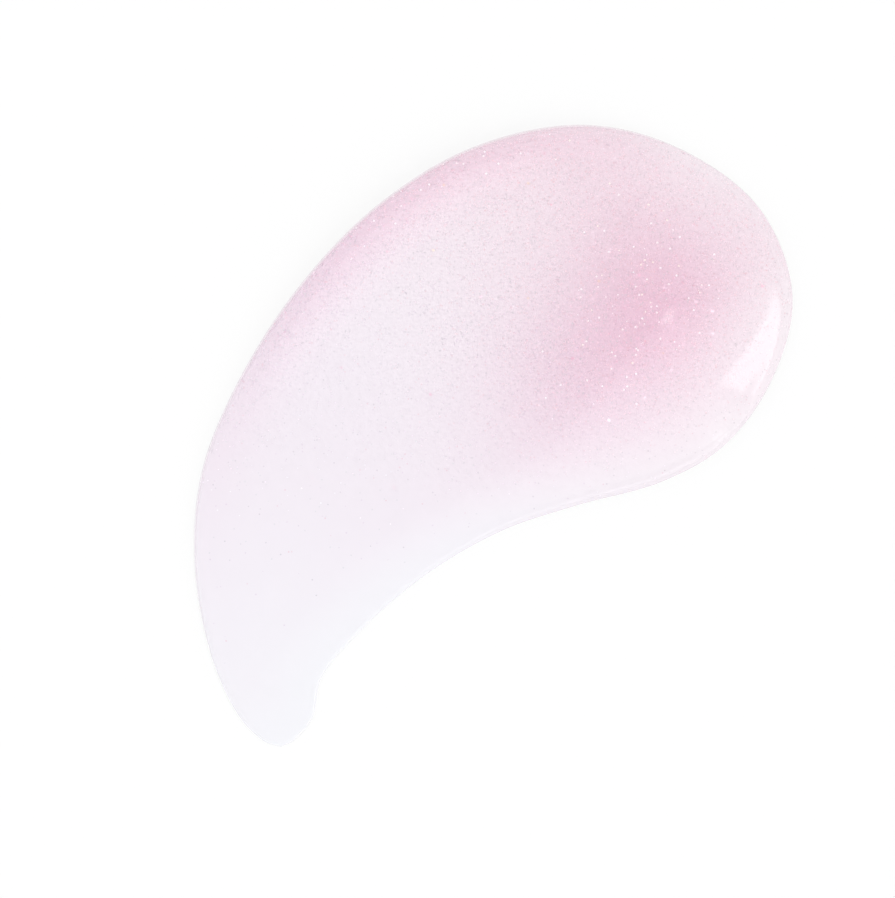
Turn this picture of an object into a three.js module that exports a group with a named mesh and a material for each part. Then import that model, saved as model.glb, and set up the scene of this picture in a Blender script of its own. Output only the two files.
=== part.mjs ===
// A smear of sheer pink lip gloss, stroked on to a flat surface and left to settle. One body of clear
// gel has a deep pool at its head, a raised bead along its outer edge, a thin inner edge and a
// drawn-out tail. Glitter hangs in the gel, and each of its coarse flakes is a piece of its own.
//
// Millimetres. +Z is up from the surface and the gel's flat underside is at Z = 0. The origin is the
// centre of the footprint's box. +Y runs from the tail towards the head, which leans over towards +X.
import * as THREE from "three";
import { ParametricGeometry } from "three/addons/geometries/ParametricGeometry.js";

const { lerp, clamp, smoothstep } = THREE.MathUtils;

// ---- Driving dimensions ----

// The footprint, from the tail's tip up the outer edge, round the head and back along the inner edge.
const OUTLINE = [
  [-10.6, -15.5],
  [-12.2, -14.6],
  [-13.9, -11.5],
  [-14.9, -6.6],
  [-14.6, -2.0],
  [-13.0, 2.2],
  [-9.9, 7.2],
  [-5.8, 11.5],
  [-1.0, 14.4],
  [4.4, 15.5],
  [9.1, 14.4],
  [13.2, 11.4],
  [14.9, 7.0],
  [13.9, 2.8],
  [11.5, -0.5],
  [8.4, -2.3],
  [4.1, -3.5],
  [0.3, -4.8],
  [-3.6, -7.1],
  [-6.9, -10.0],
  [-8.6, -12.1],
  [-9.1, -14.2],
];
// Places on the outline, as shares of its length from the tail's tip.
const HEAD_END = 0.61; // the head's far end
const INNER_START = 0.7; // where the thin inner edge begins

const TAIL_FILM = 0.16; // thickness of the film at the tail's tip
const BODY_FILM = 0.45; // its thickness in the middle of the stroke
const FILM_GROWTH = 17; // the distance from the tail's tip over which one becomes the other
const INNER_THINNING = 0.6; // the share of its thickness that the film loses at the inner edge
const INNER_REACH = 3.3; // how far in from the inner edge it is thinned

// Oval mounds on the film. Each fades from its rise at the middle. Its long axis is turned from +X, and
// across is its reach to the left and the right of that axis.
const POOL = { x: 7.4, y: 5.2, along: 7.2, across: [4.1, 2.8], turn: 0.69, rise: 1.09 }; // the deepest gloss
const CREST = { x: 7.3, y: 9.2, along: 3.0, across: [7.5, 7.5], turn: 0.35, rise: 0.43 }; // beyond the pool
const HEAD = { x: 2.5, y: 12.3, along: 20, across: [6.6, 6.6], turn: 1.96, rise: 0.39 }; // the head as a whole

// The bead that surface tension leaves inside the outer edge. It is highest at peak, a place on the
// outline, and dies away to both sides.
const BEAD = { rise: 0.86, setback: 0.5, width: 1.75, peak: 0.33, spread: 0.12 };

// The blunt, rounded edge, where the gel comes down to the surface. It is widest beside the head.
const SHOULDER = { least: 0.6, more: 1.2, widest: 0.5, spread: 0.13 };
const SHOULDER_POWER = 4; // more brings the gel to its full thickness sooner
const SHOULDER_ROOT = 2.2; // more makes the gel's foot steeper

const FLAKE = { least: 0.05, most: 0.09, thick: 0.02, lean: 0.5 }; // radii, thickness, lean in radians
const SILVER_FLAKES = 40;
const ROSE_FLAKES = 12;
// The gold flakes are few, and each has its own place.
const GOLD_PLACES = [
  [8.3, 4.1],
  [5.2, 7.6],
  [1.7, 6.8],
  [1.7, 12.5],
  [-2.5, 12.4],
  [-3.0, 9.2],
];

const GEL_PINK = 0xf3d3e0;
const SILVER = 0xf6f3f6;
const ROSE = 0xe79ab8;
const GOLD = 0xf4dfae;

const SECTIONS = 80; // stations along the gel
const TOP_STEPS = 20; // steps across each one
const CROWDING = 0.75; // how far the steps crowd towards the edges, from 0 to 1
const EDGE_SAMPLES = 600; // points on the outline for measuring the distance to it

// ---- The outline and its edges ----

const outline = new THREE.CatmullRomCurve3(
  OUTLINE.map(([x, y]) => new THREE.Vector3(x, y, 0)),
  true,
  "centripetal",
);
outline.arcLengthDivisions = 2000;

// Along either side, share runs from 0 at the tail's tip to 1 at the head's far end.
const outerSide = (share) => outline.getPointAt(share * HEAD_END);
const innerSide = (share) => outline.getPointAt(1 - share * (1 - HEAD_END));

const samples = Array.from({ length: EDGE_SAMPLES + 1 }, (_, i) => outline.getPointAt(i / EDGE_SAMPLES));

// The nearest point of the outline from a given share of its length on: its distance and its own share.
function nearestEdge(x, y, from = 0) {
  let nearest = { distance: Infinity, share: from };
  for (let i = Math.round(from * EDGE_SAMPLES) + 1; i < samples.length; i++) {
    const a = samples[i - 1];
    const b = samples[i];
    const dot = (x - a.x) * (b.x - a.x) + (y - a.y) * (b.y - a.y);
    const t = clamp(dot / a.distanceToSquared(b), 0, 1);
    const distance = Math.hypot(x - lerp(a.x, b.x, t), y - lerp(a.y, b.y, t));
    if (distance < nearest.distance) nearest = { distance, share: (i - 1 + t) / EDGE_SAMPLES };
  }
  return nearest;
}

// ---- The gel's thickness over its footprint ----

const bell = (q) => Math.exp(-q * q);

function mound(oval, x, y) {
  const dx = x - oval.x;
  const dy = y - oval.y;
  const ahead = dx * Math.cos(oval.turn) + dy * Math.sin(oval.turn);
  const aside = dy * Math.cos(oval.turn) - dx * Math.sin(oval.turn);
  return oval.rise * bell(Math.hypot(ahead / oval.along, aside / oval.across[aside > 0 ? 0 : 1]));
}

function bead(edge) {
  const ridge = bell((edge.distance - BEAD.setback) / BEAD.width);
  return BEAD.rise * ridge * bell((edge.share - BEAD.peak) / BEAD.spread);
}

// How much of its full thickness the gel has near its edge: none on the contact line, all past the shoulder.
function rounding(edge) {
  const width = SHOULDER.least + SHOULDER.more * bell((edge.share - SHOULDER.widest) / SHOULDER.spread);
  return (1 - (1 - Math.min(edge.distance / width, 1)) ** SHOULDER_POWER) ** (1 / SHOULDER_ROOT);
}

function thickness(x, y) {
  const edge = nearestEdge(x, y);
  const innerEdge = nearestEdge(x, y, INNER_START);
  const fromTail = Math.hypot(x - OUTLINE[0][0], y - OUTLINE[0][1]);

  const film = lerp(TAIL_FILM, BODY_FILM, smoothstep(fromTail, 0, FILM_GROWTH));
  const kept = 1 - INNER_THINNING * (1 - smoothstep(innerEdge.distance, 0, INNER_REACH));
  const mounds = mound(POOL, x, y) + mound(CREST, x, y) + mound(HEAD, x, y);
  return (film * kept + mounds + bead(edge)) * rounding(edge);
}

// ---- The gel ----

// One closed skin. u runs from the tail to the head. v runs over the top from the inner side to the
// outer one, in steps that crowd towards both, and returns underneath in one flat step.
function gelSkin(u, v, target) {
  const step = Math.round(v * (TOP_STEPS + 1)) % (TOP_STEPS + 1);
  const even = step / TOP_STEPS;
  const over = even - (CROWDING * Math.sin(2 * Math.PI * even)) / (2 * Math.PI);
  target.lerpVectors(innerSide(u), outerSide(u), over);
  const onTop = step > 0 && step < TOP_STEPS;
  target.z = onTop ? thickness(target.x, target.y) : 0;
}

function gelBody() {
  const mesh = new THREE.Mesh(
    new ParametricGeometry(gelSkin, SECTIONS, TOP_STEPS + 1),
    new THREE.MeshStandardMaterial({ color: GEL_PINK, roughness: 0.08, metalness: 0 }),
  );
  mesh.name = "gel_body";
  return mesh;
}

// ---- The coarse glitter ----

const GOLDEN = (Math.sqrt(5) - 1) / 2;
const hexagon = new THREE.CylinderGeometry(1, 1, FLAKE.thick, 6).rotateX(Math.PI / 2);

// A thin six-sided flake, hung in the gel at a share of its depth. Each one is a little larger or
// smaller than the last, and leans and turns its own way.
function flake(name, colour, rank, [x, y], depthShare) {
  const mesh = new THREE.Mesh(
    hexagon,
    new THREE.MeshStandardMaterial({ color: colour, roughness: 0.25, metalness: 0.9 }),
  );
  mesh.name = `${name}_${String(rank + 1).padStart(2, "0")}`;
  const radius = lerp(FLAKE.least, FLAKE.most, (rank * GOLDEN) % 1);
  mesh.scale.set(radius, radius, 1);
  mesh.position.set(x, y, thickness(x, y) * depthShare);
  mesh.rotation.set(FLAKE.lean * Math.sin(rank * 1.7), FLAKE.lean * Math.cos(rank * 2.3), rank);
  return mesh;
}

// An even spiral in the pool's own oval, for the flakes that gather there.
function placeInPool(rank, count) {
  const out = Math.sqrt((rank + 0.5) / count);
  const around = 2 * Math.PI * GOLDEN * rank;
  const ahead = 0.9 * out * POOL.along * Math.cos(around);
  const aside = 1.2 * out * POOL.across[Math.sin(around) > 0 ? 0 : 1] * Math.sin(around);
  return [
    POOL.x + ahead * Math.cos(POOL.turn) - aside * Math.sin(POOL.turn),
    POOL.y + ahead * Math.sin(POOL.turn) + aside * Math.cos(POOL.turn),
  ];
}

// Places strewn over the whole stroke, clear of its edges.
function placeOnStroke(rank, count) {
  const along = lerp(0.3, 0.92, (rank + 0.5) / count);
  const over = lerp(0.25, 0.9, (0.5 + rank * GOLDEN) % 1);
  const { x, y } = innerSide(along).lerp(outerSide(along), over);
  return [x, y];
}

function glitter() {
  const flakes = new THREE.Group();
  for (let i = 0; i < SILVER_FLAKES; i++) {
    flakes.add(flake("silver_flake", SILVER, i, placeInPool(i, SILVER_FLAKES), 0.8));
  }
  for (let i = 0; i < ROSE_FLAKES; i++) {
    flakes.add(flake("rose_flake", ROSE, i, placeOnStroke(i, ROSE_FLAKES), 0.6));
  }
  GOLD_PLACES.forEach((place, i) => flakes.add(flake("gold_flake", GOLD, i, place, 0.75)));
  return flakes;
}

// ---- The smear, with the origin at the centre of its footprint's box ----

const smear = new THREE.Group();
smear.name = "lip_gloss_smear";
smear.add(gelBody(), glitter());

const centre = new THREE.Box3().setFromPoints(samples).getCenter(new THREE.Vector3());
smear.children.forEach((child) => child.position.sub(centre));

export default smear;
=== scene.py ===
"""Looks for a smear of sheer pink lip gloss on white.

The gel's fine surface, its glitter and shimmer, and a plain studio seen from straight above. Everything
is in metres and in the row's frame, unless a comment says otherwise.
"""

import math

import bpy
import numpy as np
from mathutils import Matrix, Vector
from mathutils.kdtree import KDTree


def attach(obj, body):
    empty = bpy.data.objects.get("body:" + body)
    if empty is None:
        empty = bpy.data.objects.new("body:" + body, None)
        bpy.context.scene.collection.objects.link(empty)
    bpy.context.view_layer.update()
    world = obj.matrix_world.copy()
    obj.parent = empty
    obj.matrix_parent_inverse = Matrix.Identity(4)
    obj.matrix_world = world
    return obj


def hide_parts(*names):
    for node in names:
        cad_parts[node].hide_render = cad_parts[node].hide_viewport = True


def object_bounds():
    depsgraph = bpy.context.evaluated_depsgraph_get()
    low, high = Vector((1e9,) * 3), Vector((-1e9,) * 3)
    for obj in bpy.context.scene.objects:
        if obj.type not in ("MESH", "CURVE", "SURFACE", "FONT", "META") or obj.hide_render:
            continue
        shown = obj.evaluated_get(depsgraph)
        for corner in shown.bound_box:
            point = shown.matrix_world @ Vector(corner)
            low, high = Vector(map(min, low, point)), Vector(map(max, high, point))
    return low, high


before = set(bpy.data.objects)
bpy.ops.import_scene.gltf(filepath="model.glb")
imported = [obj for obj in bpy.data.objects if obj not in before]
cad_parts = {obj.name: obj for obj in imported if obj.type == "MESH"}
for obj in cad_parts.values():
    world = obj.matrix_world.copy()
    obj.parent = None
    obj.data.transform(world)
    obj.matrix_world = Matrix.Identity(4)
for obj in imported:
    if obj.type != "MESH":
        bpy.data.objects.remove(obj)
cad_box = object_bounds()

MM = 0.001
GEL_NODE = "gel_body"

# ---- The gel's grid, read from the CAD node ----

WELD_DIGITS = 7  # vertices whose places agree to this many digits are one
NEAR = 0.0005 * MM  # a point this far off a plane or a line still counts as on it
SLACK = 1e-6  # and this share of a line's length beyond its ends


def welded(node):
    """The CAD node's vertices and faces, with the vertices that share a place made one."""
    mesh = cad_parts[node].data
    places = np.array([v.co for v in mesh.vertices])
    points, index = np.unique(np.round(places, WELD_DIGITS), axis=0, return_inverse=True)
    index = index.reshape(-1)
    return points, [tuple(index[list(p.vertices)]) for p in mesh.polygons]


def contact_line(points, faces):
    """The points round the flat underside, in order, from the tail's tip up the outer edge and back."""
    edges = set()
    for face in faces:
        if all(points[v][2] < NEAR for v in face):
            for a, b in zip(face, face[1:] + face[:1]):
                if (b, a) in edges:
                    edges.remove((b, a))
                else:
                    edges.add((a, b))
    onward = dict(edges)
    loop = [min(onward, key=lambda v: points[v][1])]
    while len(loop) < len(onward):
        loop.append(onward[loop[-1]])
    line = points[loop]
    return line if line[1][0] < line[0][0] else np.roll(line[::-1], 1, axis=0)


def gel_rows():
    """The CAD gel's top as a grid: rows from tail to head, each from the inner edge to the outer."""
    points, faces = welded(GEL_NODE)
    line = contact_line(points, faces)
    half = len(line) // 2
    rows = []
    for i in range(1, half):
        inner, outer = line[-i], line[i]
        chord = (outer - inner)[:2]
        run = (points[:, :2] - inner[:2]) @ chord / (chord @ chord)
        off = np.linalg.norm(points[:, :2] - inner[:2] - run[:, None] * chord, axis=1)
        on_chord = (off < NEAR) & (run > -SLACK) & (run < 1 + SLACK)
        rows.append(points[on_chord][np.argsort(run[on_chord])])
    tail = np.tile(line[0], (len(rows[0]), 1))
    head = np.tile(line[half], (len(rows[0]), 1))
    return np.array([tail, *rows, head])


# ---- The gel's fine surface ----

FINER_ALONG = 6  # rows of the fine surface to each row of the CAD gel
STEPS_ACROSS = 120
EDGE_CROWDING = 0.8  # how far those steps crowd towards the edges, from 0 to 1
CREASE = math.radians(40)  # faces that meet more sharply than this have a crease between them
DEPTH = "gel_depth"
EDGE_REACH = 0.5 * MM  # how far in from a steep edge its depth is read
CELLS_TO_REACH = 8  # how finely that distance is divided for it
EDGE_LEAN = (0.06, 0.35)  # 1 less the cosine of the slope where that begins, and where it is full
TINY = 1e-12  # keeps a division from zero


def through(values, at):
    """A natural cubic spline through values, along their first axis, read at the fractional places at."""
    count = len(values)
    bends = np.zeros_like(values)
    band = 4 * np.eye(count - 2) + np.eye(count - 2, k=1) + np.eye(count - 2, k=-1)
    second = 6 * (values[:-2] - 2 * values[1:-1] + values[2:])
    bends[1:-1] = np.linalg.solve(band, second.reshape(count - 2, -1)).reshape(second.shape)
    i = np.clip(at.astype(int), 0, count - 2)
    t = (at - i).reshape((-1,) + (1,) * (values.ndim - 1))
    straight = (1 - t) * values[i] + t * values[i + 1]
    return straight + (((1 - t) ** 3 - (1 - t)) * bends[i] + (t**3 - t) * bends[i + 1]) / 6


def fine_grid():
    """The CAD gel's grid with its smooth surface filled in."""
    rows = gel_rows()
    rows = through(rows, np.linspace(0, len(rows) - 1, FINER_ALONG * (len(rows) - 1) + 1))
    widest = rows[np.linalg.norm(rows[:, -1] - rows[:, 0], axis=1).argmax()]
    over = np.linalg.norm(widest - widest[0], axis=1)
    even = np.linspace(0, 1, STEPS_ACROSS + 1)
    wanted = (even - EDGE_CROWDING * np.sin(2 * np.pi * even) / (2 * np.pi)) * over[-1]
    steps = np.interp(wanted, over, np.arange(len(over)))
    grid = through(rows.swapaxes(0, 1), steps).swapaxes(0, 1)
    grid[..., 2] = np.maximum(grid[..., 2], 0)
    grid[:, [0, -1], 2] = 0
    return grid


def mesh_object(name, verts, faces, material):
    mesh = bpy.data.meshes.new(name)
    mesh.from_pydata([tuple(v) for v in verts], [], [tuple(f) for f in faces])
    mesh.materials.append(material)
    piece = bpy.data.objects.new(name, mesh)
    bpy.context.collection.objects.link(piece)
    return piece


def smooth_between(piece, sharpest):
    """Shades every face smooth, with a crease wherever two faces meet more sharply than that angle."""
    mesh = piece.data
    mesh.polygons.foreach_set("use_smooth", [True] * len(mesh.polygons))
    mesh.set_sharp_from_angle(angle=sharpest)


def tallest_near(grid, reach):
    """The greatest height of the gel within reach of each point of the grid."""
    far = CELLS_TO_REACH
    low = grid.reshape(-1, 3).min(axis=0)[:2] - reach
    across, along = ((grid[..., :2] - low) / (reach / far)).astype(int).transpose(2, 0, 1)
    heights = np.zeros((across.max() + far + 1, along.max() + far + 1))
    np.maximum.at(heights, (across, along), grid[..., 2])
    tallest = heights.copy()
    for x in range(-far, far + 1):
        for y in range(-far, far + 1):
            if math.hypot(x, y) <= far:
                tallest = np.maximum(tallest, np.roll(heights, (x, y), axis=(0, 1)))
    return tallest[across, along]


def gel_depths(grid):
    """The depth seen at each point, in mm: the gel's height, or on a steep edge the height just inside."""
    onward, over = np.gradient(grid, axis=0), np.gradient(grid, axis=1)
    facing = np.cross(over, onward)
    size = np.maximum(np.linalg.norm(facing, axis=-1), TINY)
    lean = 1 - np.abs(facing[..., 2]) / size
    steep = np.clip((lean - EDGE_LEAN[0]) / (EDGE_LEAN[1] - EDGE_LEAN[0]), 0, 1)
    height = grid[..., 2]
    return (height + (tallest_near(grid, EDGE_REACH) - height) * steep) / MM


def gel_surface(grid, material):
    """One closed skin over the grid: the domed top, and a flat underside of one strip to each row."""
    rows, steps = grid.shape[:2]
    number = np.arange(1, (rows - 2) * steps + 1).reshape(rows - 2, steps)
    tail, head = 0, number.size + 1
    verts = np.vstack([grid[0, 0], grid[1:-1].reshape(-1, 3), grid[-1, 0]])
    top = np.stack([number[:-1, :-1], number[1:, :-1], number[1:, 1:], number[:-1, 1:]], axis=-1)
    under = np.stack([number[:-1, 0], number[:-1, -1], number[1:, -1], number[1:, 0]], axis=-1)
    fans = [(tail, a, b) for a, b in zip(number[0, :-1], number[0, 1:])]
    fans += [(head, b, a) for a, b in zip(number[-1, :-1], number[-1, 1:])]
    ends = [(tail, number[0, -1], number[0, 0]), (head, number[-1, 0], number[-1, -1])]
    piece = mesh_object("gel", verts, [*top.reshape(-1, 4), *fans, *under, *ends], material)
    smooth_between(piece, CREASE)
    depths = gel_depths(grid)
    depths = np.hstack([depths[0, 0], depths[1:-1].ravel(), depths[-1, 0]])
    piece.data.attributes.new(DEPTH, "FLOAT", "POINT").data.foreach_set("value", depths)
    return piece


# ---- Nodes ----

def new_material(name):
    material = bpy.data.materials.new(name)
    material.use_nodes = True
    tree = material.node_tree
    return material, tree, tree.nodes["Principled BSDF"]


def add(tree, kind, **inputs):
    """A new node, with the sockets named in inputs set, or linked where an output is given."""
    node = tree.nodes.new(kind)
    for name, value in inputs.items():
        put(tree, node.inputs[name.replace("_", " ")], value)
    return node


def put(tree, socket, value):
    if isinstance(value, bpy.types.NodeSocket):
        tree.links.new(value, socket)
    else:
        socket.default_value = value


def math_node(tree, operation, a, b):
    node = tree.nodes.new("ShaderNodeMath")
    node.operation = operation
    put(tree, node.inputs[0], a)
    put(tree, node.inputs[1], b)
    return node.outputs[0]


def smooth_step(tree, value, start, end):
    """0 before start, 1 after end and a smooth rise between them; start may be the greater."""
    rise = add(tree, "ShaderNodeMapRange", Value=value, From_Min=start, From_Max=end)
    rise.interpolation_type = "SMOOTHSTEP"
    return rise.outputs[0]


def mix_colours(tree, share, a, b, how="MIX"):
    """A Mix node for colours. They are its seventh and eighth inputs and its third output."""
    node = tree.nodes.new("ShaderNodeMix")
    node.data_type = "RGBA"
    node.blend_type = how
    put(tree, node.inputs["Factor"], share)
    put(tree, node.inputs[6], a)
    put(tree, node.inputs[7], b)
    return node.outputs[2]


def steps_of(tree, chance, colours):
    """One of colours, by chance from 0 to 1."""
    ramp = add(tree, "ShaderNodeValToRGB", Fac=chance)
    ramp.color_ramp.interpolation = "CONSTANT"
    ramp.color_ramp.elements.remove(ramp.color_ramp.elements[1])
    for i, colour in enumerate(colours):
        stop = ramp.color_ramp.elements[0] if i == 0 else ramp.color_ramp.elements.new(i / len(colours))
        stop.color = (*colour, 1)
    return ramp.outputs[0]


def object_place(tree):
    return tree.nodes.new("ShaderNodeTexCoord").outputs["Object"]


# ---- The gel's material ----

DYE = (0.968, 0.847, 0.903)  # what a millimetre of gel lets through of red, green and blue
COOL_TINT = (0.965, 0.973, 1.0)  # what its lower left lets through besides
WARM_TINT = (0.991, 0.994, 1.0)  # and its upper right
CLEARNESS = 0.63  # the rest is scattered by the pearl
GEL_ROUGHNESS = 0.07
GEL_IOR = 1.47
THROUGH = (0.94, 0.94, 0.94)  # what each face lets through of the light that falls on the floor
UNDULATION = 1.4 * MM  # how far apart the top's faint swells are
SWELL = 0.012 * MM  # and how high
WARM_SPAN = (-0.33, 0.72)  # where warmth begins and is full, as shares of x + y at the box's corner
HIGH_SPAN = (-0.39, 0.90)  # the same for height on the smear, as shares of y there

# The grain of the pearl that is too fine to model, and white specks painted in as glints, in kinds that
# differ in:
#   colours   from cool to warm
#   spacing   between the places where a grain may be
#   size      a grain's radius
#   deeper    the depth in mm past which grains come
#   higher    the height on the smear, from 0 to 1, past which they come; below 0, they come at every height
#   share     how fast they crowd with depth and height, up to most of the places
#   cover     how much of the gel's colour a grain hides
#   clouds    1 where a grain also makes the gel milky, 0 where it only tints it
DUST = dict(
    colours=[
        (0.36, 0.42, 0.46),
        (0.44, 0.32, 0.46),
        (0.22, 0.24, 0.27),
        (0.66, 0.48, 0.57),
        (0.74, 0.46, 0.48),
        (0.44, 0.37, 0.37),
    ],
    spacing=0.085 * MM,
    size=0.036 * MM,
    deeper=0.38,
    higher=-0.15,
    share=0.9,
    most=0.5,
    cover=0.42,
    clouds=1.0,
)
SPECKS = dict(
    colours=[
        (0.68, 0.70, 0.74),
        (0.72, 0.58, 0.74),
        (0.55, 0.52, 0.58),
        (0.88, 0.50, 0.58),
        (0.52, 0.46, 0.50),
        (0.84, 0.42, 0.48),
    ],
    spacing=0.12 * MM,
    size=0.044 * MM,
    deeper=0.2,
    higher=-0.25,
    share=0.6,
    most=0.3,
    cover=0.5,
    clouds=0.0,
)
# White specks painted into the gel's colour: painted glints, standing in for light caught by the glitter.
PAINTED_GLINTS = dict(
    colours=[(1, 0.9, 0.94), (1, 0.98, 1), (1, 1, 1), (1, 0.97, 0.95), (1, 0.92, 0.78)],
    spacing=0.25 * MM,
    size=0.055 * MM,
    deeper=1.1,
    higher=-0.3,
    share=0.45,
    most=0.4,
    cover=0.55,
    clouds=1.0,
)
BY_CHANCE = 0.55  # how far a grain's colour is chance
BY_WARMTH = 0.44  # and how far it follows its place


def dyed(tree, depth, warmth):
    """The gel's own colour: the dye deepens with the gel. A Principled node tints by its colour's root."""
    colour = tree.nodes.new("ShaderNodeCombineColor")
    for i, (dye, cool, warm) in enumerate(zip(DYE, COOL_TINT, WARM_TINT)):
        tint = math_node(tree, "MULTIPLY", warmth, warm**2 - cool**2)
        tint = math_node(tree, "ADD", tint, cool**2)
        deep = math_node(tree, "POWER", dye**2, depth)
        put(tree, colour.inputs[i], math_node(tree, "MULTIPLY", deep, tint))
    return colour.outputs[0]


def warmth_and_height(tree):
    """Two measures from 0 to 1: from the smear's lower left to its upper right, and from low to high."""
    corner = cad_box[1]
    place = add(tree, "ShaderNodeSeparateXYZ", Vector=object_place(tree))
    x, y = place.outputs[:2]
    slant = math_node(tree, "ADD", x, y)
    warmth = smooth_step(tree, slant, *(share * (corner.x + corner.y) for share in WARM_SPAN))
    height = smooth_step(tree, y, *(share * corner.y for share in HIGH_SPAN))
    return warmth, height


def grains_and_painted_glints(tree, depth, warmth, height, colours, spacing, size, deeper, higher, share, most, cover, clouds):
    """Round specks strewn through the gel, grains of the pearl and painted glints: their cover, their
    colours, and how far they cloud it.
    """
    cells = add(tree, "ShaderNodeTexVoronoi", Vector=object_place(tree), Scale=1 / spacing)
    dice = add(tree, "ShaderNodeTexWhiteNoise", Vector=cells.outputs["Position"])
    chance = add(tree, "ShaderNodeSeparateColor", Color=dice.outputs["Color"])
    crowd = math_node(tree, "MULTIPLY", math_node(tree, "SUBTRACT", depth, deeper), share)
    crowd = math_node(tree, "MULTIPLY", crowd, math_node(tree, "SUBTRACT", height, higher))
    chosen = math_node(tree, "LESS_THAN", chance.outputs[0], math_node(tree, "MINIMUM", crowd, most))
    inside = math_node(tree, "LESS_THAN", cells.outputs["Distance"], size / spacing)
    there = math_node(tree, "MULTIPLY", math_node(tree, "MULTIPLY", chosen, inside), cover)
    kind = math_node(tree, "MULTIPLY", chance.outputs[1], BY_CHANCE)
    kind = math_node(tree, "ADD", kind, math_node(tree, "MULTIPLY", warmth, BY_WARMTH))
    return there, steps_of(tree, kind, colours), math_node(tree, "MULTIPLY", there, clouds)


def gel_material():
    """Clear pink gel. Only what is seen directly bends: the light on the floor goes straight through."""
    material, tree, gel = new_material("gel")
    read = tree.nodes.new("ShaderNodeAttribute")
    read.attribute_name = DEPTH
    depth = read.outputs["Fac"]
    warmth, height = warmth_and_height(tree)
    colour = dyed(tree, depth, warmth)
    clearness = CLEARNESS
    # The first two kinds are the pearl's grain; the last paints white specks in as glints.
    for kind in (DUST, SPECKS, PAINTED_GLINTS):
        there, hue, cloud = grains_and_painted_glints(tree, depth, warmth, height, **kind)
        colour = mix_colours(tree, there, colour, hue)
        left = math_node(tree, "SUBTRACT", 1.0, cloud)
        clearness = math_node(tree, "MULTIPLY", left, clearness)
    put(tree, gel.inputs["Base Color"], colour)
    put(tree, gel.inputs["Transmission Weight"], clearness)
    gel.inputs["Roughness"].default_value = GEL_ROUGHNESS
    gel.inputs["IOR"].default_value = GEL_IOR
    swell = add(tree, "ShaderNodeTexNoise", Vector=object_place(tree), Scale=1 / UNDULATION, Detail=2.0)
    bump = add(tree, "ShaderNodeBump", Height=swell.outputs[0], Distance=SWELL, Strength=1.0)
    tree.links.new(bump.outputs[0], gel.inputs["Normal"])
    straight = add(tree, "ShaderNodeBsdfTransparent", Color=(*THROUGH, 1))
    path = tree.nodes.new("ShaderNodeLightPath")
    surface = tree.nodes.new("ShaderNodeMixShader")
    put(tree, surface.inputs[0], path.outputs["Is Camera Ray"])
    put(tree, surface.inputs[1], straight.outputs[0])
    put(tree, surface.inputs[2], gel.outputs[0])
    put(tree, tree.nodes["Material Output"].inputs["Surface"], surface.outputs[0])
    return material


# ---- Foil and paper ----

EMBOSSING = 0.03 * MM  # how far apart the dents in the foil are
DENT = 0.002 * MM  # and how deep
DENT_PAINTED_SHADE = (0.85, 1.05)  # painted shade in the dents and painted light on their rises: how dark and how light they make the foil
PAPER_WHITE = 0.82


def glitter_material(name, colours, chance_node, chance_output, roughness):
    """Dented foil in one of colours, which the named output of the named node picks for each flake. Its
    dents carry painted shade and their rises painted light.
    """
    material, tree, foil = new_material(name)
    chance = tree.nodes.new(chance_node).outputs[chance_output]
    dents = add(tree, "ShaderNodeTexNoise", Vector=object_place(tree), Scale=1 / EMBOSSING)
    dark, light = DENT_PAINTED_SHADE
    # The foil's colour follows the dents' depth: painted shade in the hollows, painted light on the rises.
    painted_dent_shade = add(tree, "ShaderNodeMapRange", Value=dents.outputs[0], To_Min=dark, To_Max=light)
    colour = mix_colours(tree, 1.0, steps_of(tree, chance, colours), painted_dent_shade.outputs[0], "MULTIPLY")
    put(tree, foil.inputs["Base Color"], colour)
    foil.inputs["Metallic"].default_value = 1
    foil.inputs["Roughness"].default_value = roughness
    bump = add(tree, "ShaderNodeBump", Height=dents.outputs[0], Distance=DENT, Strength=1.0)
    tree.links.new(bump.outputs[0], foil.inputs["Normal"])
    return material


def paper_material():
    material, _, paper = new_material("paper")
    paper.inputs["Base Color"].default_value = (PAPER_WHITE, PAPER_WHITE, PAPER_WHITE, 1)
    paper.inputs["Roughness"].default_value = 1
    paper.inputs["Specular IOR Level"].default_value = 0
    return material


# ---- Studio ----

FLOOR_REACH = 0.6  # from the origin to each of its sides
FLOOR_DROP = 0.02 * MM  # how far it lies below the gel

FRAME_WIDTH = 1.5  # the view's width beside the smear's own
CAMERA_SHIFT = (-0.051, -0.015)  # as shares of that width
LENS = 100  # mm
SENSOR = 36  # mm

# The sky's strengths. Angles are in degrees, and round means round from +X.
ROOM_LIGHT = 1.072
GLOW_LIGHT = 0.9
GLOW_FROM = (-52, 46)  # round, and up
GLOW_EDGE = 0.8  # the cosine of the angle from its middle to its edge
STRIP_LIGHT = 2.9
STRIP_AZIMUTH = -14
STRIP_OUT = (0.31, 0.42)  # how far from overhead it starts and ends, where the horizon is 1
STRIP_SOFT = 0.06
STRIP_ASIDE = (-0.05, 0.05)  # how far it goes to each side
STRIP_ASIDE_SOFT = 0.1


def floor():
    low, high = -FLOOR_REACH, FLOOR_REACH
    corners = [(low, low), (high, low), (high, high), (low, high)]
    verts = [(x, y, -FLOOR_DROP) for x, y in corners]
    sheet = mesh_object("floor", verts, [(0, 1, 2, 3)], paper_material())


def towards(azimuth, elevation):
    a, e = math.radians(azimuth), math.radians(elevation)
    return Vector((math.cos(a) * math.cos(e), math.sin(a) * math.cos(e), math.sin(e)))


def reach_towards(tree, direction, way):
    """How far each direction of the sky points one way, from -1 to 1."""
    dot = tree.nodes.new("ShaderNodeVectorMath")
    dot.operation = "DOT_PRODUCT"
    put(tree, dot.inputs[0], direction)
    put(tree, dot.inputs[1], way)
    return dot.outputs["Value"]


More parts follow.
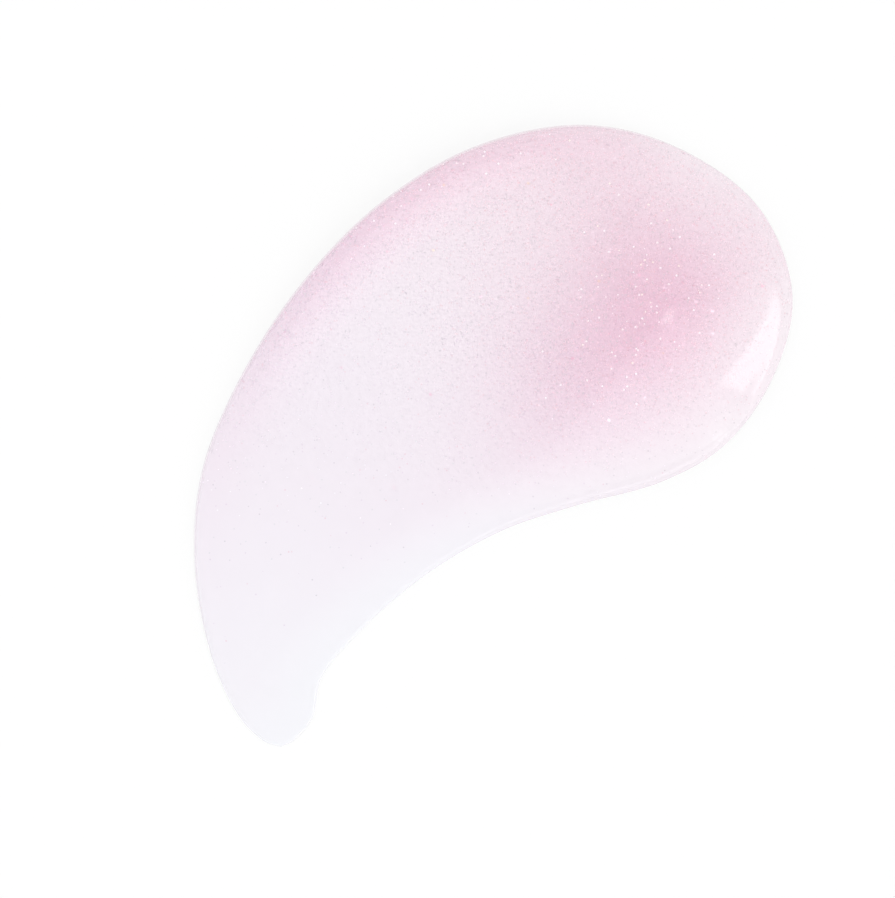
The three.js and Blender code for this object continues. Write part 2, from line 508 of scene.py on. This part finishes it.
def window(tree, value, low, high, soft):
    """1 where value is between low and high, with soft edges that wide."""
    rise = smooth_step(tree, value, low - soft, low)
    fall = smooth_step(tree, value, high + soft, high)
    return math_node(tree, "MULTIPLY", rise, fall)


def studio_light():
    """A bright white studio: a soft glow low on the right, and a narrow soft strip high up."""
    world = bpy.data.worlds.new("studio")
    bpy.context.scene.world = world
    world.use_nodes = True
    tree = world.node_tree
    direction = tree.nodes.new("ShaderNodeTexCoord").outputs["Generated"]
    glow = smooth_step(tree, reach_towards(tree, direction, towards(*GLOW_FROM)), GLOW_EDGE, 1.0)
    out = reach_towards(tree, direction, towards(STRIP_AZIMUTH, 0))
    aside = reach_towards(tree, direction, towards(STRIP_AZIMUTH + 90, 0))
    along = window(tree, out, *STRIP_OUT, STRIP_SOFT)
    strip = math_node(tree, "MULTIPLY", along, window(tree, aside, *STRIP_ASIDE, STRIP_ASIDE_SOFT))
    light = math_node(tree, "MULTIPLY", glow, GLOW_LIGHT)
    light = math_node(tree, "ADD", light, math_node(tree, "MULTIPLY", strip, STRIP_LIGHT))
    light = math_node(tree, "ADD", light, ROOM_LIGHT)
    tree.nodes["Background"].inputs["Color"].default_value = (1, 1, 1, 1)
    put(tree, tree.nodes["Background"].inputs["Strength"], light)


def camera():
    low, high = cad_box
    width = (high.x - low.x) * FRAME_WIDTH
    lens = bpy.data.cameras.new("camera")
    lens.lens = LENS
    lens.sensor_width = SENSOR
    eye = bpy.data.objects.new("camera", lens)
    bpy.context.collection.objects.link(eye)
    eye.location = (CAMERA_SHIFT[0] * width, CAMERA_SHIFT[1] * width, width * LENS / SENSOR)
    bpy.context.scene.camera = eye


# ---- The coarse flakes ----

FLAKE_COLOURS = {
    "silver": [(0.98, 0.98, 0.99), (0.92, 0.97, 1.0), (1.0, 0.95, 0.98)],
    "rose": [(1.0, 0.62, 0.72), (1.0, 0.75, 0.82), (0.95, 0.55, 0.68)],
    "gold": [(1.0, 0.86, 0.55), (1.0, 0.80, 0.45), (1.0, 0.9, 0.68)],
}
FLAKE_ROUGHNESS = 0.3


def flake_foil(kind):
    colours = FLAKE_COLOURS[kind]
    return glitter_material(kind + "_foil", colours, "ShaderNodeObjectInfo", "Random", FLAKE_ROUGHNESS)


def finish_flakes():
    """Gives the CAD flakes their foil, and returns a tree that finds the flake nearest to a place."""
    foils = {kind: flake_foil(kind) for kind in FLAKE_COLOURS}
    places = []
    for name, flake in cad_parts.items():
        kind = name.split("_")[0]
        if kind in foils:
            for slot in flake.material_slots:
                slot.material = foils[kind]
            places.append(np.mean([v.co for v in flake.data.vertices], axis=0))
    flakes = KDTree(len(places))
    for i, place in enumerate(places):
        flakes.insert(place, i)
    flakes.balance()
    return flakes


# ---- Shimmer ----

# Each kind has plates with radii from least to most and keeps to gel deeper than shallowest. at_rim adds to
# its crowding along the head's outer rim. slot is not used.
SHIMMER = {
    "pearl_shimmer": dict(
        slot="silver_flake",
        count=1200,
        least=0.022 * MM,
        most=0.045 * MM,
        shallowest=0.8 * MM,
        at_rim=0.0,
        colours=[(0.98, 0.98, 1), (0.88, 0.94, 1), (1, 0.94, 0.97)],
    ),
    "rose_shimmer": dict(
        slot="rose_flake",
        count=1300,
        least=0.022 * MM,
        most=0.042 * MM,
        shallowest=0.65 * MM,
        at_rim=2.5,
        colours=[(0.92, 0.54, 0.60), (0.86, 0.60, 0.68), (0.97, 0.74, 0.80)],
    ),
    # Dark plates crowded along the outer rim: partly the pearl's dark grain there, partly painted shade
    # that darkens the rim's edge.
    "mauve_shimmer": dict(
        slot="rose_flake",
        count=1400,
        least=0.020 * MM,
        most=0.036 * MM,
        shallowest=0.5 * MM,
        at_rim=3.0,
        colours=[(0.50, 0.46, 0.52), (0.42, 0.46, 0.46), (0.58, 0.44, 0.48)],
    ),
}
RIM_START = 0.6  # the share of the way from the inner edge to the outer where the rim begins
RIM_GROWTH = 0.5  # the share of the way from the tail to the head over which it grows
CLEARANCE = 0.11 * MM  # from a plate's edge to a coarse flake's middle: past the largest flake's radius
PLATE_SIDES = 4
PLATE_THICK = 0.008 * MM
PLATE_LEAN = 0.35  # the spread of the slopes at which the plates lie
PLATE_ROUGHNESS = 0.5
ASKEW = (0.3, 0.5, 0.8)  # crossed with a plate's axis, it gives a direction across the plate
SEED = 7


def plates(centres, radii, axes, sides, thick):
    """Flat plates with that many sides, each about its own axis: all their vertices, and their faces."""
    turn = np.linspace(0, 2 * np.pi, sides, endpoint=False)
    ring = np.arange(sides)
    around = [(a, b, b + sides, a + sides) for a, b in zip(ring, np.roll(ring, -1))]
    faces = [tuple(ring[::-1]), tuple(ring + sides), *around]
    side = np.cross(axes, ASKEW)
    side /= np.linalg.norm(side, axis=1, keepdims=True)
    other = np.cross(axes, side)
    rim = side[:, None] * np.cos(turn)[:, None] + other[:, None] * np.sin(turn)[:, None]
    rim = rim * radii[:, None, None]
    half = axes[:, None] * thick / 2
    verts = np.concatenate([rim - half, rim + half], axis=1) + centres[:, None]
    all_faces = [tuple(v + 2 * sides * i for v in face) for i in range(len(centres)) for face in faces]
    return verts.reshape(-1, 3), all_faces


def strewn(grid, rng, count, least, most, shallowest, at_rim):
    """Centres and radii of plates in the gel: more where it is deep, each between its top and its floor."""
    corner = grid[:-1, :-1]
    onward, across = grid[1:, :-1] - corner, grid[:-1, 1:] - corner
    area = np.abs(np.cross(onward[..., :2], across[..., :2]))
    depth = np.minimum(corner[..., 2], grid[1:, 1:, 2])
    rows, steps = depth.shape
    along, out = np.linspace(0, 1, rows)[:, None], np.linspace(0, 1, steps)
    rim = np.clip((out - RIM_START) / (1 - RIM_START), 0, 1) * np.clip(along / RIM_GROWTH, 0, 1)
    weight = area * np.clip(depth - shallowest, 0, None) * (1 + at_rim * rim)
    pick = rng.choice(weight.size, size=count, p=(weight / weight.sum()).ravel())
    u, v = rng.random((2, count, 1))
    corner, onward, across = (part.reshape(-1, 3)[pick] for part in (corner, onward, across))
    centres = corner + u * onward + v * across
    radii = rng.uniform(least, most, count)
    centres[:, 2] = radii + (depth.ravel()[pick] - 2 * radii) * rng.random(count)
    return centres, radii


def clear_of(flakes, centres, radii):
    """Which plates stand clear of the coarse flakes."""
    clear = []
    for i, centre in enumerate(centres):
        _, _, distance = flakes.find(centre)
        if distance > radii[i] + CLEARANCE:
            clear.append(i)
    return clear


def shimmer(name, grid, rng, flakes, colours, slot, count, **spread):
    """Fine plates of one kind, strewn through the gel and clear of its coarse flakes."""
    centres, radii = strewn(grid, rng, count, **spread)
    kept = clear_of(flakes, centres, radii)
    lean = rng.normal(0, PLATE_LEAN, (count, 2))
    axes = np.column_stack([lean, np.ones(count)])
    axes /= np.linalg.norm(axes, axis=1, keepdims=True)
    verts, faces = plates(centres[kept], radii[kept], axes[kept], PLATE_SIDES, PLATE_THICK)
    foil = glitter_material(name, colours, "ShaderNodeNewGeometry", "Random Per Island", PLATE_ROUGHNESS)
    piece = mesh_object(name, verts, faces, foil)
    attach(piece, "root")


camera()
studio_light()
floor()
bpy.context.scene.view_settings.view_transform = "Standard"
grid = fine_grid()
gel = gel_surface(grid, gel_material())
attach(gel, "root")
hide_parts(GEL_NODE)

flakes = finish_flakes()
rng = np.random.default_rng(SEED)
for name, how in SHIMMER.items():
    shimmer(name, grid, rng, flakes, **how)
